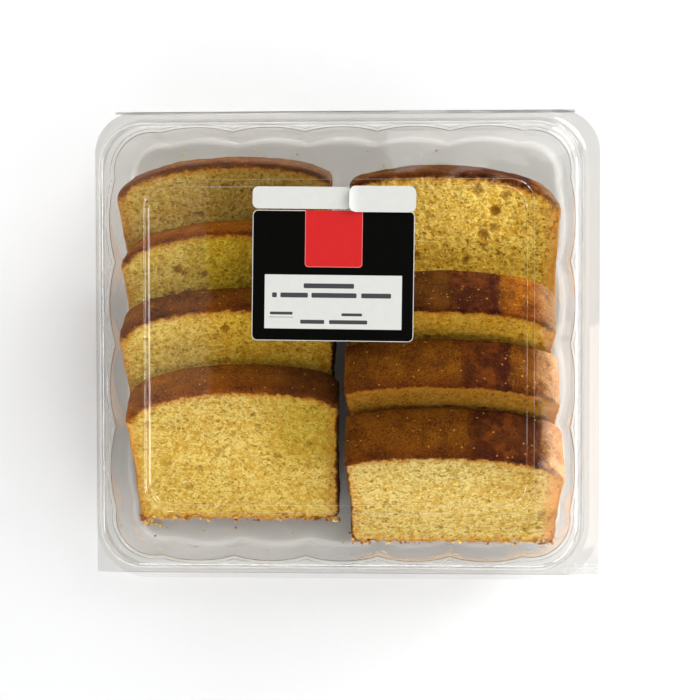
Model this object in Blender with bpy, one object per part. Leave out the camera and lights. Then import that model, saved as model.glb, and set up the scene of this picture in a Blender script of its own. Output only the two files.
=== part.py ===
"""Clear hinged food pack with two rows of leaning cornbread slices.

Units are metres and +Z is up. +Y points to the hinge and -Y to the edge that opens.
The origin lies on the table, under the middle of the pack.
"""
import math

import bmesh
import bpy

MM = 0.001

# The formed plastic sheet
FILM = 0.5 * MM            # its thickness
GAP = 0.3 * MM             # kept between pieces that touch
FLOOR_ROUND = 3.0 * MM     # height and reach of the rounding between floor and wall

# The flat rim where tray and lid meet
RIM_HALF_X = 120.7 * MM
RIM_HALF_Y = 112.0 * MM
RIM_Z = 36.0 * MM          # top of the tray's rim
TRAY_LIP = 2.4 * MM        # the tray's front edge stays this far behind the lid's
SQUARE_CORNER = 1.5 * MM   # the tray's two front corners
BACK_CORNER = 16.0 * MM
CUT_CORNER = 25.0 * MM     # the lid's two front corners, cut back to free the tray's

# The hollow sits a little to the left of the rim's middle
HOLLOW_X = -2.2 * MM
HOLLOW_Y = 0.5 * MM
HOLLOW_HALF_X = 111.1 * MM  # to the points between the wall's flutes
HOLLOW_HALF_Y = 103.7 * MM
HOLLOW_CORNER = 24.0 * MM
FLUTE = 2.8 * MM           # how far each flute of the wall bulges out
FLUTES_SIDE = 4
FLUTES_FRONT = 5
TRAY_DRAFT = 1.6 * MM      # the floor is this much smaller on every side

# The bead that snaps the lid to the tray
BEAD_HALF_X = 116.4 * MM
BEAD_HALF_Y = 108.4 * MM
BEAD_CORNER = 24.0 * MM
TRAY_BEAD = (1.0 * MM, 0.4 * MM, 1.3 * MM)   # half width at the foot, at the crest, height
LID_BEAD = (1.5 * MM, 0.9 * MM, 2.0 * MM)

# The lid
LID_TOP_Z = 71.0 * MM
LID_HALF_X = 114.6 * MM    # at the rim
LID_HALF_Y = 106.8 * MM
LID_DRAFT = 4.0 * MM       # the wall's lean from the rim to the shoulder
LID_SHOULDER = 5.0 * MM    # rounding between wall and top
LID_CORNER = 22.0 * MM
FRAME_HALF_X = 87.6 * MM   # the raised frame round the label's panel
FRAME_HALF_Y = 74.4 * MM
FRAME_CORNER = 11.0 * MM
FRAME_BEAD = (1.2 * MM, 0.6 * MM, 0.7 * MM)

# The paper label on the lid
PAPER = 0.2 * MM
LABEL_TURN = math.radians(-0.8)
CARD = dict(x=-4.4 * MM, y=32.6 * MM, width=73.8 * MM, depth=59.4 * MM, corner=2.4 * MM)
STRIP_LEFT = dict(x=-18.4 * MM, y=68.2 * MM, width=45.2 * MM, depth=10.0 * MM, corner=2.6 * MM)
STRIP_RIGHT = dict(x=18.3 * MM, y=67.4 * MM, width=30.4 * MM, depth=11.9 * MM, corner=3.0 * MM)

# The slices stand on the tray's floor and lean back towards the hinge.
# For each slice, front to back: the middle's x, the foot's y, lean in degrees, width,
# height of the front face, and how much higher the top is at the slice's back.
SLICE_FLOOR = 0.5 * MM
LEFT_ROW = dict(thickness=18.0 * MM, outer_side=-1, outer_drop=20.0 * MM, inner_drop=11.0 * MM,
                slices=[(-54.0, -75.6, 57.3, 102.0, 77.8, 2.7),
                        (-56.4, -34.1, 55.1, 103.0, 76.7, -0.3),
                        (-55.9, -2.3, 58.0, 102.0, 77.9, -3.9),
                        (-57.7, 32.1, 58.0, 102.4, 74.8, -5.4)])
RIGHT_ROW = dict(thickness=25.0 * MM, outer_side=1, outer_drop=19.0 * MM, inner_drop=8.0 * MM,
                 slices=[(51.6, -78.2, 42.9, 102.6, 68.7, 5.5),
                         (50.4, -36.2, 36.0, 100.6, 66.5, 2.5),
                         (49.4, -4.8, 38.3, 99.0, 67.5, -1.1),
                         (51.9, 22.2, 76.1, 100.8, 68.5, -0.6)])
CRUST_OVERHANG = 1.6 * MM  # the baked top stands out over the sides
FOOT_DROP = 2.6 * MM       # the cut runs on below the foot's back edge, as slices lean on it
SLICE_FOOT_ROUND = 3.0 * MM
SLICE_EDGE = 1.0 * MM      # softening of the cut edges
PEAK_SHIFT = 7.0 * MM      # the dome's highest point lies towards the pack's middle
DOME_STEPS = 9


def clear_scene():
    for thing in list(bpy.data.objects):
        bpy.data.objects.remove(thing, do_unlink=True)


def make_material(name, colour, roughness, alpha=1.0):
    material = bpy.data.materials.new(name)
    material.use_nodes = True
    shader = material.node_tree.nodes["Principled BSDF"]
    shader.inputs["Base Color"].default_value = (*colour, 1.0)
    shader.inputs["Roughness"].default_value = roughness
    shader.inputs["Metallic"].default_value = 0.0
    shader.inputs["Alpha"].default_value = alpha
    return material


def rounded_box(half_x, half_y, corners, middle=(HOLLOW_X, HOLLOW_Y), flute=0.0, flutes=(1, 1),
                flute_steps=1, corner_steps=6):
    """Outline from above, anticlockwise from the front of the right side.

    corners holds the radii front right, back right, back left and front left, and
    flutes the number of bulging arcs along the right and left sides and along the
    back and front.
    """
    front_right, back_right, back_left, front_left = corners
    sides = [  # start, end, outward direction, arcs, corner radius after the side
        ((half_x, front_right - half_y), (half_x, half_y - back_right), 0, flutes[0], back_right),
        ((half_x - back_right, half_y), (back_left - half_x, half_y), 90, flutes[1], back_left),
        ((-half_x, half_y - back_left), (-half_x, front_left - half_y), 180, flutes[0], front_left),
        ((front_left - half_x, -half_y), (half_x - front_right, -half_y), 270, flutes[1], front_right),
    ]
    points = []
    for start, end, facing, arcs, radius in sides:
        out_x = math.cos(math.radians(facing))
        out_y = math.sin(math.radians(facing))
        count = arcs * flute_steps
        for step in range(count):
            along = step / count
            across = (step % flute_steps) / flute_steps
            bulge = flute * 4 * across * (1 - across)
            points.append((start[0] + (end[0] - start[0]) * along + out_x * bulge,
                           start[1] + (end[1] - start[1]) * along + out_y * bulge))
        centre = (end[0] - out_x * radius, end[1] - out_y * radius)
        for step in range(corner_steps):
            turn = math.radians(facing + 90 * step / corner_steps)
            reach = radius + 0.7 * flute * math.sin(math.pi * step / corner_steps)
            points.append((centre[0] + reach * math.cos(turn), centre[1] + reach * math.sin(turn)))
    return [(x + middle[0], y + middle[1]) for x, y in points]


def at_height(outline, z):
    return [(x, y, z) for x, y in outline]


def loft(name, rings, material):
    """One closed body through rings of equal point count, capped at both ends."""
    mesh = bpy.data.meshes.new(name)
    build = bmesh.new()
    loops = [[build.verts.new(point) for point in ring] for ring in rings]
    for lower, upper in zip(loops, loops[1:]):
        for index in range(len(lower)):
            following = (index + 1) % len(lower)
            build.faces.new((lower[index], lower[following], upper[following], upper[index]))
    build.faces.new(list(reversed(loops[0])))
    build.faces.new(loops[-1])
    bmesh.ops.recalc_face_normals(build, faces=build.faces)
    build.to_mesh(mesh)
    build.free()
    mesh.shade_smooth()
    mesh.set_sharp_from_angle(angle=math.radians(35))
    mesh.materials.append(material)
    item = bpy.data.objects.new(name, mesh)
    bpy.context.scene.collection.objects.link(item)
    return item


def bead_rings(outline_at, half_x, half_y, bead, base_z, lift):
    """The four corners of a raised bead's profile, from its inner foot to its outer foot."""
    foot, crest, height = bead
    profile = [(-foot - lift, 0.0), (-crest - lift, height), (crest + lift, height), (foot + lift, 0.0)]
    return [at_height(outline_at(half_x + reach, half_y + reach), base_z + rise)
            for reach, rise in profile]


def make_tray(material):
    def wall(inset, bulge=FLUTE):
        corner = HOLLOW_CORNER - inset
        return rounded_box(HOLLOW_HALF_X - inset, HOLLOW_HALF_Y - inset, [corner] * 4, flute=bulge,
                           flutes=(FLUTES_SIDE, FLUTES_FRONT), flute_steps=4)

    def rim_line(half_x, half_y):
        return rounded_box(half_x, half_y, [BEAD_CORNER] * 4, flutes=(FLUTES_SIDE, FLUTES_FRONT),
                           flute_steps=4)

    def rim_edge():
        depth = RIM_HALF_Y - TRAY_LIP / 2
        corners = [SQUARE_CORNER, BACK_CORNER, BACK_CORNER, SQUARE_CORNER]
        return rounded_box(RIM_HALF_X, depth, corners, middle=(0.0, TRAY_LIP / 2),
                           flutes=(FLUTES_SIDE, FLUTES_FRONT), flute_steps=4)

    under = RIM_Z - FILM
    soft = 0.3 * FLOOR_ROUND
    outside = [at_height(wall(TRAY_DRAFT + FLOOR_ROUND), 0.0),
               at_height(wall(TRAY_DRAFT + soft), soft),
               at_height(wall(TRAY_DRAFT), FLOOR_ROUND),
               at_height(wall(0.0), under)]
    outside += bead_rings(rim_line, BEAD_HALF_X, BEAD_HALF_Y, TRAY_BEAD, under, 0.0)
    edge = [at_height(rim_edge(), under), at_height(rim_edge(), RIM_Z)]
    inside = bead_rings(rim_line, BEAD_HALF_X, BEAD_HALF_Y, TRAY_BEAD, RIM_Z, 0.3 * FILM)[::-1]
    inside += [at_height(wall(FILM), RIM_Z),
               at_height(wall(TRAY_DRAFT + FILM), FLOOR_ROUND),
               at_height(wall(TRAY_DRAFT + soft + FILM), soft + 0.5 * FILM),
               at_height(wall(TRAY_DRAFT + FLOOR_ROUND + FILM), FILM)]
    return loft("tray", outside + edge + inside, material)


def make_lid(material):
    def line(half_x, half_y, corner):
        return rounded_box(half_x, half_y, [corner] * 4)

    def wall(inset):
        return line(LID_HALF_X - inset, LID_HALF_Y - inset, LID_CORNER - 0.5 * inset)

    def rim_line(half_x, half_y):
        return line(half_x, half_y, BEAD_CORNER)

    def frame_line(half_x, half_y):
        return line(half_x, half_y, FRAME_CORNER)

    def rim_edge():
        corners = [CUT_CORNER, BACK_CORNER, BACK_CORNER, CUT_CORNER]
        return rounded_box(RIM_HALF_X, RIM_HALF_Y, corners, middle=(0.0, 0.0))

    def skin(depth):
        """Rings from the frame's inside out to the rim, that deep under the outer face."""
        top = LID_TOP_Z - depth
        shoulder = LID_SHOULDER - depth
        rings = bead_rings(frame_line, FRAME_HALF_X, FRAME_HALF_Y, FRAME_BEAD, top, 0.0)
        for degrees in (90, 60, 30, 0):
            turn = math.radians(degrees)
            inset = LID_DRAFT + LID_SHOULDER - shoulder * math.cos(turn)
            rings.append(at_height(wall(inset), LID_TOP_Z - LID_SHOULDER + shoulder * math.sin(turn)))
        rim_top = RIM_Z + GAP + FILM - depth
        rings.append(at_height(wall(depth), rim_top))
        rings += bead_rings(rim_line, BEAD_HALF_X, BEAD_HALF_Y, LID_BEAD, rim_top, -0.3 * depth)
        rings.append(at_height(rim_edge(), rim_top))
        return rings

    return loft("lid", skin(0.0) + skin(FILM)[::-1], material)


def slice_outline(row, width, height):
    """A slice's cut face as (x, z), anticlockwise from the left end of its foot."""
    half = width / 2
    foot_half = half - CRUST_OVERHANG
    left_drop, right_drop = row["inner_drop"], row["outer_drop"]
    if row["outer_side"] < 0:
        left_drop, right_drop = right_drop, left_drop
    peak = -row["outer_side"] * PEAK_SHIFT
    right_shoulder = height - right_drop
    left_shoulder = height - left_drop
    points = [(SLICE_FOOT_ROUND - foot_half, 0.0), (foot_half - SLICE_FOOT_ROUND, 0.0),
              (foot_half, SLICE_FOOT_ROUND), (foot_half, 0.5 * right_shoulder),
              (foot_half + 0.6 * CRUST_OVERHANG, 0.88 * right_shoulder)]
    for step in range(DOME_STEPS + 1):
        turn = 0.5 * math.pi * step / DOME_STEPS
        points.append((peak + (half - peak) * math.cos(turn), right_shoulder + right_drop * math.sin(turn)))
    for step in range(DOME_STEPS - 1, -1, -1):
        turn = 0.5 * math.pi * step / DOME_STEPS
        points.append((peak - (half + peak) * math.cos(turn), left_shoulder + left_drop * math.sin(turn)))
    points += [(-foot_half - 0.6 * CRUST_OVERHANG, 0.88 * left_shoulder), (-foot_half, 0.5 * left_shoulder),
               (-foot_half, SLICE_FOOT_ROUND)]
    return points


def drop_foot(outline, height):
    """The outline stretched down at its foot by the foot's drop."""
    return [(x, z - FOOT_DROP * (1 - z / height)) for x, z in outline]


def shrink(outline, height, margin):
    """The outline pulled in by about that margin towards its middle."""
    widest = max(x for x, z in outline)
    return [(x * (1 - margin / widest), height / 2 + (z - height / 2) * (1 - 2 * margin / height))
            for x, z in outline]


def make_slice(name, row, numbers, material):
    x, foot_y, lean, width, height, rise = numbers
    height *= MM
    back_height = height + rise * MM
    front = drop_foot(slice_outline(row, width * MM, height), height)
    back = slice_outline(row, width * MM, back_height)
    thickness = row["thickness"]
    stations = [(shrink(front, height, SLICE_EDGE), -thickness), (front, SLICE_EDGE - thickness),
                (back, -SLICE_EDGE), (shrink(back, back_height, SLICE_EDGE), 0.0)]
    rings = [[(px, y, pz) for px, pz in outline] for outline, y in stations]
    item = loft(name, rings, material)
    item.location = (x * MM, foot_y * MM, SLICE_FLOOR)
    item.rotation_euler = (-math.radians(lean), 0.0, 0.0)
    return item


def make_label(name, size, z, material):
    outline = rounded_box(size["width"] / 2, size["depth"] / 2, [size["corner"]] * 4, middle=(0.0, 0.0),
                          corner_steps=5)
    item = loft(name, [at_height(outline, 0.0), at_height(outline, PAPER)], material)
    item.location = (size["x"], size["y"], z)
    item.rotation_euler = (0.0, 0.0, LABEL_TURN)
    return item


def build_pack():
    plastic = make_material("clear_plastic", (0.90, 0.92, 0.92), 0.08, alpha=0.3)
    bread = make_material("cornbread", (0.70, 0.47, 0.14), 0.9)
    print_black = make_material("label_print", (0.02, 0.02, 0.02), 0.5)
    paper = make_material("label_paper", (0.86, 0.86, 0.85), 0.5)
    hinge = bpy.data.objects.new("lid_hinge_line", None)
    hinge.location = (0.0, RIM_HALF_Y + 0.5 * GAP, RIM_Z + 0.5 * GAP)
    bpy.context.scene.collection.objects.link(hinge)

    make_tray(plastic)
    moving = [make_lid(plastic)]
    lid_face = LID_TOP_Z + GAP
    moving.append(make_label("label_card", CARD, lid_face, print_black))
    moving.append(make_label("label_strip_left", STRIP_LEFT, lid_face, paper))
    moving.append(make_label("label_strip_right", STRIP_RIGHT, lid_face + PAPER + GAP, paper))
    for item in moving:
        item.parent = hinge
        item.location -= hinge.location

    for side, row in (("left", LEFT_ROW), ("right", RIGHT_ROW)):
        for number, numbers in enumerate(row["slices"], start=1):
            make_slice(f"slice_{side}_{number}", row, numbers, bread)


clear_scene()
build_pack()
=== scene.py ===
# %% [markdown]
# # A clear pack of cornbread slices
#
# The object is a hinged pack of thin clear plastic. Eight slices of yellow cornbread lean back
# in two rows inside it, and a paper label is stuck on the lid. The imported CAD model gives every
# place and size. This script keeps those and makes the surfaces: open crumb, browned crust,
# glossy formed plastic, printed paper and loose crumbs.

import math

import bmesh
import bpy
import numpy as np
from mathutils import Matrix, Vector, noise
from mathutils.bvhtree import BVHTree
from mathutils.kdtree import KDTree


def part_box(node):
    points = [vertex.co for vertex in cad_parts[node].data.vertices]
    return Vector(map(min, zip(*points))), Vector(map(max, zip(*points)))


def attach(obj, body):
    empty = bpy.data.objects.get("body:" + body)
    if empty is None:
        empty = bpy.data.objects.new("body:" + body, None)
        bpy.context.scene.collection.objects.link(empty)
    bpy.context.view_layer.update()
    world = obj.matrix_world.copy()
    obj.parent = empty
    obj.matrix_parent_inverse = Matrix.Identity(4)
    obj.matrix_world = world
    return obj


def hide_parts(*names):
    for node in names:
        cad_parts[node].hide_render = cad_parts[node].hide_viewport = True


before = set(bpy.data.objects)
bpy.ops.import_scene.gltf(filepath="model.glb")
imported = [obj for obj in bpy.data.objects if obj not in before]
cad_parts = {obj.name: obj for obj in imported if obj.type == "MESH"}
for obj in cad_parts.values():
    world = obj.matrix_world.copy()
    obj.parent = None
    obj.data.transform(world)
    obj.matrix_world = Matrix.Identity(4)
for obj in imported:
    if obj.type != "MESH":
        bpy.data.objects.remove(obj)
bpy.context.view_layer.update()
MM = 0.001

# %% [markdown]
# ## Camera
#
# The pack lies flat and is seen almost straight from above, from a little to the right of its
# middle, so that a sliver of each wall shows on the far side. A long lens keeps the sides nearly
# parallel. The camera's axes are built from its line of sight, because a view straight down has
# no natural upright and a tracking constraint could turn it.

# %% Camera
CAMERA_PLACE = Vector((0.0323, 0.0185, 0.750))
CAMERA_AIM = Vector((0.0003, -0.0032, 0.0))
CAMERA_ROLL = math.radians(0.07)
FIELD_OF_VIEW = math.radians(26.43)
NEAR_CLIP = 0.01
BOUNCES = 24             # a ray crosses four sheet faces on the way down and as many on the way up

scene = bpy.context.scene


def look(place, aim, up):
    """A matrix at place whose -Z points at aim and whose Y is as near to up as it can be."""
    back = (place - aim).normalized()
    right = up.cross(back).normalized()
    turn = Matrix((right, back.cross(right), back)).transposed()
    return Matrix.Translation(place) @ turn.to_4x4()


camera_data = bpy.data.cameras.new("camera")
camera_data.angle = FIELD_OF_VIEW
camera_data.clip_start = NEAR_CLIP
camera = bpy.data.objects.new("camera", camera_data)
scene.collection.objects.link(camera)
upright = Vector((math.sin(CAMERA_ROLL), math.cos(CAMERA_ROLL), 0.0))
camera.matrix_world = look(CAMERA_PLACE, CAMERA_AIM, upright)
scene.camera = camera
scene.view_settings.view_transform = "Standard"
scene.cycles.use_denoising = True
scene.cycles.transparent_max_bounces = BOUNCES
scene.cycles.max_bounces = BOUNCES
scene.cycles.transmission_bounces = BOUNCES
print("camera height in m:", CAMERA_PLACE.z)

# %% [markdown]
# ## Light
#
# Clear plastic is seen by what it mirrors. Big soft panels stand low round the pack, outside the
# patch of ceiling that the flat lid mirrors into the camera, so the lid stays clear and only its
# rounded edges catch them. The strongest stands behind and to the right, where it grazes the
# crusts, and a smaller one above it fills the shade. Three dim panels hang inside the mirrored
# patch: they lay a faint haze over the lid's left, right and back edges.

# %% Light
LAMP_AIM = Vector((0.0, 0.0, 0.03))
HUNG_OVER = 1.0          # a panel higher than this, in metres, takes its upright from +Y
LOW = 15                 # degrees above the table
PANEL = (1.8, 1.2)       # width and height in metres
STRIP = (2.4, 0.24)
HAZE_Z = 1.27
COOL, WARM = (0.92, 1.0, 1.08), (1.0, 0.90, 0.80)


def add_panel(name, place, width, depth, brightness, tint=(1.0, 1.0, 1.0)):
    """A soft rectangular light aimed at the pack. brightness is its radiance."""
    light = bpy.data.lights.new(name, "AREA")
    light.shape = "RECTANGLE"
    light.size = width
    light.size_y = depth
    light.energy = brightness * math.pi * width * depth
    light.color = tint
    item = bpy.data.objects.new(name, light)
    scene.collection.objects.link(item)
    up = Vector((0.0, 1.0, 0.0)) if place[2] > HUNG_OVER else Vector((0.0, 0.0, 1.0))
    item.matrix_world = look(Vector(place), LAMP_AIM, up)


def round_the_pack(turn, height_angle, distance=3.0):
    """A place that far from the pack, turned from +X towards +Y and raised by these degrees."""
    turn, height_angle = math.radians(turn), math.radians(height_angle)
    level = distance * math.cos(height_angle)
    return level * math.cos(turn), level * math.sin(turn), distance * math.sin(height_angle)


add_panel("panel_key", round_the_pack(45, LOW), *PANEL, 13.2)
add_panel("panel_right", round_the_pack(0, LOW), *PANEL, 5.2, COOL)
add_panel("panel_front", round_the_pack(270, LOW), *PANEL, 3.9)
add_panel("panel_front_right", round_the_pack(315, LOW), *PANEL, 4.4)
add_panel("panel_high", round_the_pack(45, 58), 0.8, 0.8, 5.5)
add_panel("strip_left", round_the_pack(180, LOW), 2.0, 0.5, 8.5)
add_panel("strip_back", round_the_pack(95, LOW), *STRIP, 4.0)
add_panel("strip_front", round_the_pack(270, 12), *STRIP, 5.0)
add_panel("haze_left", (-0.349, 0.035, HAZE_Z), 0.242, 0.30, 0.32, WARM)
add_panel("haze_right", (0.260, -0.155, HAZE_Z), 0.135, 0.29, 1.4, WARM)
add_panel("haze_back", (0.11, 0.235, HAZE_Z), 0.22, 0.08, 1.4)

# %% [markdown]
# ## Helpers for materials
#
# A node graph reads best when each node is one short line. `put` adds a node and fills its
# sockets, `plus`, `minus` and `times` add one sum each, `ease` is a soft step between two values
# and `blend_colours` mixes two colours by a mask.

# %% Node helpers
def srgb(red, green, blue):
    """A screen colour from 0 to 255 as the linear colour that shaders use."""
    linear = [((value / 255 + 0.055) / 1.055) ** 2.4 if value > 10 else value / 255 / 12.92
              for value in (red, green, blue)]
    return (*linear, 1.0)


def put(tree, kind, inputs=None, **settings):
    """Adds a node. inputs holds a number, a colour or another node's socket for each socket."""
    made = tree.nodes.new(kind)
    for name, value in settings.items():
        setattr(made, name, value)
    for key, value in (inputs or {}).items():
        if isinstance(value, bpy.types.NodeSocket):
            tree.links.new(value, made.inputs[key])
        else:
            made.inputs[key].default_value = value
    return made


def calc(tree, operation, first, second=0.0, clamp=False):
    return put(tree, "ShaderNodeMath", {0: first, 1: second}, operation=operation, use_clamp=clamp).outputs[0]


def plus(tree, first, second, clamp=False):
    return calc(tree, "ADD", first, second, clamp)


def minus(tree, first, second, clamp=False):
    return calc(tree, "SUBTRACT", first, second, clamp)


def times(tree, first, second):
    return calc(tree, "MULTIPLY", first, second)


def vector_calc(tree, operation, first, second=(0.0, 0.0, 0.0)):
    return put(tree, "ShaderNodeVectorMath", {0: first, 1: second}, operation=operation).outputs[0]


def ease(tree, value, start, end):
    """0 before start, 1 after end and a smooth step between them."""
    return put(tree, "ShaderNodeMapRange", {"Value": value, "From Min": start, "From Max": end},
               interpolation_type="SMOOTHSTEP").outputs["Result"]


def stretch(tree, value, low, high):
    """Low where value is 0, high where it is 1."""
    return put(tree, "ShaderNodeMapRange", {"Value": value, "To Min": low, "To Max": high}).outputs["Result"]


def blend_colours(tree, mask, first, second, how="MIX"):
    return put(tree, "ShaderNodeMix", {0: mask, 6: first, 7: second}, data_type="RGBA",
               blend_type=how).outputs[2]


def blend_values(tree, mask, first, second):
    return put(tree, "ShaderNodeMix", {0: mask, 2: first, 3: second}).outputs[0]


def waves(tree, place, scale, detail=2.0, roughness=0.5, output="Fac"):
    """Noise with that many waves to a metre."""
    return put(tree, "ShaderNodeTexNoise", {"Vector": place, "Scale": scale, "Detail": detail,
                                            "Roughness": roughness}).outputs[output]


def along_axes(tree, place):
    return put(tree, "ShaderNodeSeparateXYZ", {0: place}).outputs


def relief_normal(tree, height, strength, distance, under=None):
    """The normal of a relief, laid over another relief's normal where under is given."""
    inputs = {"Height": height, "Strength": strength, "Distance": distance}
    if under is not None:
        inputs["Normal"] = under
    return put(tree, "ShaderNodeBump", inputs).outputs["Normal"]


def start_group(name, inputs, outputs):
    """A shader node group with named sockets. Returns the group, its inputs and its output node."""
    group = bpy.data.node_groups.new(name, "ShaderNodeTree")
    for label, kind, value in inputs:
        socket = group.interface.new_socket(name=label, in_out="INPUT", socket_type=kind)
        socket.default_value = value
    for label, kind in outputs:
        group.interface.new_socket(name=label, in_out="OUTPUT", socket_type=kind)
    return group, put(group, "NodeGroupInput").outputs, put(group, "NodeGroupOutput")


def use_group(tree, group, inputs):
    return put(tree, "ShaderNodeGroup", inputs, node_tree=group).outputs


def start_material(name):
    """A new material. Returns it, its node tree and its Principled shader."""
    material = bpy.data.materials.new(name)
    material.use_nodes = True
    return material, material.node_tree, material.node_tree.nodes["Principled BSDF"]


def own_place(tree):
    """The place of each point in its object's own space, so a pattern rides with the object."""
    return put(tree, "ShaderNodeTexCoord").outputs["Object"]


print("middle grey as a linear colour:", [round(value, 3) for value in srgb(128, 128, 128)])

# %% [markdown]
# ## The room
#
# The room is a plain pale surround that is dark overhead, so that the flat lid mirrors nothing
# and stays clear. Where it is looked at, directly or through the plastic, it is brighter than the
# light it gives: a pale backdrop far behind the pack, as in a studio.

# %% Room
ROOM_SEEN = 1.05          # brightness of the backdrop where it is looked at
ROOM_LIGHT = 0.755        # brightness of the same surround as a light
ROOM_OVERHEAD = 0.01
SEEN_FADE = (0.5, 0.3)    # how far up the backdrop has faded out and is whole; 1 is straight up
LIGHT_FADE = (0.92, 0.72)

world = bpy.data.worlds.new("studio")
world.use_nodes = True
room = world.node_tree
upward = along_axes(room, put(room, "ShaderNodeTexCoord").outputs["Generated"])["Z"]
rays = put(room, "ShaderNodeLightPath").outputs
looked_at = calc(room, "MAXIMUM", rays["Is Camera Ray"], rays["Is Transmission Ray"])
backdrop = times(room, looked_at, ease(room, upward, *SEEN_FADE))
surround = stretch(room, ease(room, upward, *LIGHT_FADE), ROOM_OVERHEAD, ROOM_LIGHT)
background = room.nodes["Background"]
background.inputs["Color"].default_value = (1.0, 1.0, 1.0, 1.0)
room.links.new(blend_values(room, backdrop, surround, ROOM_SEEN), background.inputs["Strength"])
scene.world = world
print("room nodes:", len(room.nodes))

# %% [markdown]
# ## The crumb, as a node group
#
# Cornbread's cut face is a fine sponge: pale gold crumb, mottled at about a millimetre, with
# small pits that are wider than they are high. The pits sit one to a cell of a Voronoi pattern,
# each with a size of its own, and noise bends them out of round. Every slice has this crumb, so
# it is a group that is built once. It puts out masks and a height only; the slice's material
# turns those into colour, and paints the pits dark olive as shade.

# %% Crumb group
GRAIN_WAVES = 900.0      # waves per metre
LUMP_WAVES = 380.0
PATCH_WAVES = 75.0
WARP_WAVES = 800.0
WARP = 1.3 * MM          # how far the pattern is bent
SQUASH = (0.92, 1.0, 1.06)
LARGE_PITS = 440.0       # cells per metre
SMALL_PITS = 900.0
FLOAT, VECTOR, ORIGIN = "NodeSocketFloat", "NodeSocketVector", (0.0, 0.0, 0.0)


def pits(tree, place, openness, cells, largest):
    """Round hollows, one in each cell of that many to a metre, each with a size of its own."""
    cell = put(tree, "ShaderNodeTexVoronoi", {"Vector": place, "Scale": cells}).outputs
    chance = put(tree, "ShaderNodeSeparateColor", {0: cell["Color"]}).outputs[1]
    sized = times(tree, calc(tree, "POWER", chance, 2.0), times(tree, openness, largest))
    return ease(tree, minus(tree, sized, cell["Distance"]), -0.04, 0.10)


def make_crumb_group():
    """Tone is the mottling, Holes marks the pits and Height is the relief of both."""
    tree, given, result = start_group(
        "open crumb", [("Vector", VECTOR, ORIGIN), ("Seed", FLOAT, 0.0), ("Openness", FLOAT, 0.5)],
        [("Tone", FLOAT), ("Holes", FLOAT), ("Height", FLOAT)])
    shifted = vector_calc(tree, "ADD", given["Vector"], given["Seed"])
    widened = vector_calc(tree, "MULTIPLY", shifted, SQUASH)
    warp = vector_calc(tree, "MULTIPLY", waves(tree, widened, WARP_WAVES, output="Color"), (WARP, WARP, WARP))
    torn = vector_calc(tree, "ADD", widened, warp)
    grain = waves(tree, torn, GRAIN_WAVES, 4.0, 0.7)
    lumps = waves(tree, torn, LUMP_WAVES)
    patches = waves(tree, shifted, PATCH_WAVES, 3.0)

    openness = plus(tree, given["Openness"], patches)
    pores = calc(tree, "MAXIMUM", pits(tree, torn, openness, LARGE_PITS, 0.46),
                 times(tree, pits(tree, torn, openness, SMALL_PITS, 0.50), 0.85))
    contrast = plus(tree, 1.4, times(tree, given["Openness"], 2.0))
    mottle = times(tree, minus(tree, grain, 0.5), contrast)
    drift = plus(tree, times(tree, patches, 0.5), minus(tree, times(tree, lumps, 1.3), 0.40))
    tree.links.new(plus(tree, mottle, drift, clamp=True), result.inputs["Tone"])
    tree.links.new(pores, result.inputs["Holes"])
    tree.links.new(minus(tree, grain, pores), result.inputs["Height"])
    return tree


crumb_group = make_crumb_group()
print("crumb group nodes:", len(crumb_group.nodes))

# %% [markdown]
# ## The crust, as a node group
#
# The baked skin is as rough as fine sandpaper, blotched where it has browned unevenly, and
# dusted with pale specks of meal. Three noises of different size add up to its tone, and each
# speck is the middle of a picked Voronoi cell.

# %% Crust group
BROAD_WAVES = 60.0       # waves per metre
BLOTCH_WAVES = 150.0
SAND_WAVES = 1100.0
SPECK_CELLS = 620.0      # cells per metre, a few of which hold a speck


def make_crust_group():
    """Tone and Blotches are the browning, Dust marks the specks and Height is the relief."""
    tree, given, result = start_group(
        "baked crust", [("Vector", VECTOR, ORIGIN), ("Seed", FLOAT, 0.0)],
        [("Tone", FLOAT), ("Blotches", FLOAT), ("Dust", FLOAT), ("Height", FLOAT)])
    place = vector_calc(tree, "ADD", given["Vector"], given["Seed"])
    broad = waves(tree, place, BROAD_WAVES, 3.0)
    blotches = waves(tree, place, BLOTCH_WAVES, 4.0, 0.65)
    sand = waves(tree, place, SAND_WAVES, 4.0, 0.75)
    specks = put(tree, "ShaderNodeTexVoronoi", {"Vector": place, "Scale": SPECK_CELLS}).outputs
    chance = put(tree, "ShaderNodeSeparateColor", {0: specks["Color"]}).outputs[1]
    mottle = plus(tree, times(tree, blotches, 0.70), minus(tree, times(tree, sand, 1.7), 1.09))
    tone = plus(tree, times(tree, broad, 0.8), mottle, clamp=True)
    dust = times(tree, ease(tree, chance, 0.90, 0.96), ease(tree, specks["Distance"], 0.36, 0.18))
    height = plus(tree, sand, times(tree, blotches, 0.8))
    for label, value in (("Tone", tone), ("Blotches", blotches), ("Dust", dust), ("Height", height)):
        tree.links.new(value, result.inputs[label])
    return tree


crust_group = make_crust_group()
print("crust group nodes:", len(crust_group.nodes))
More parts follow.
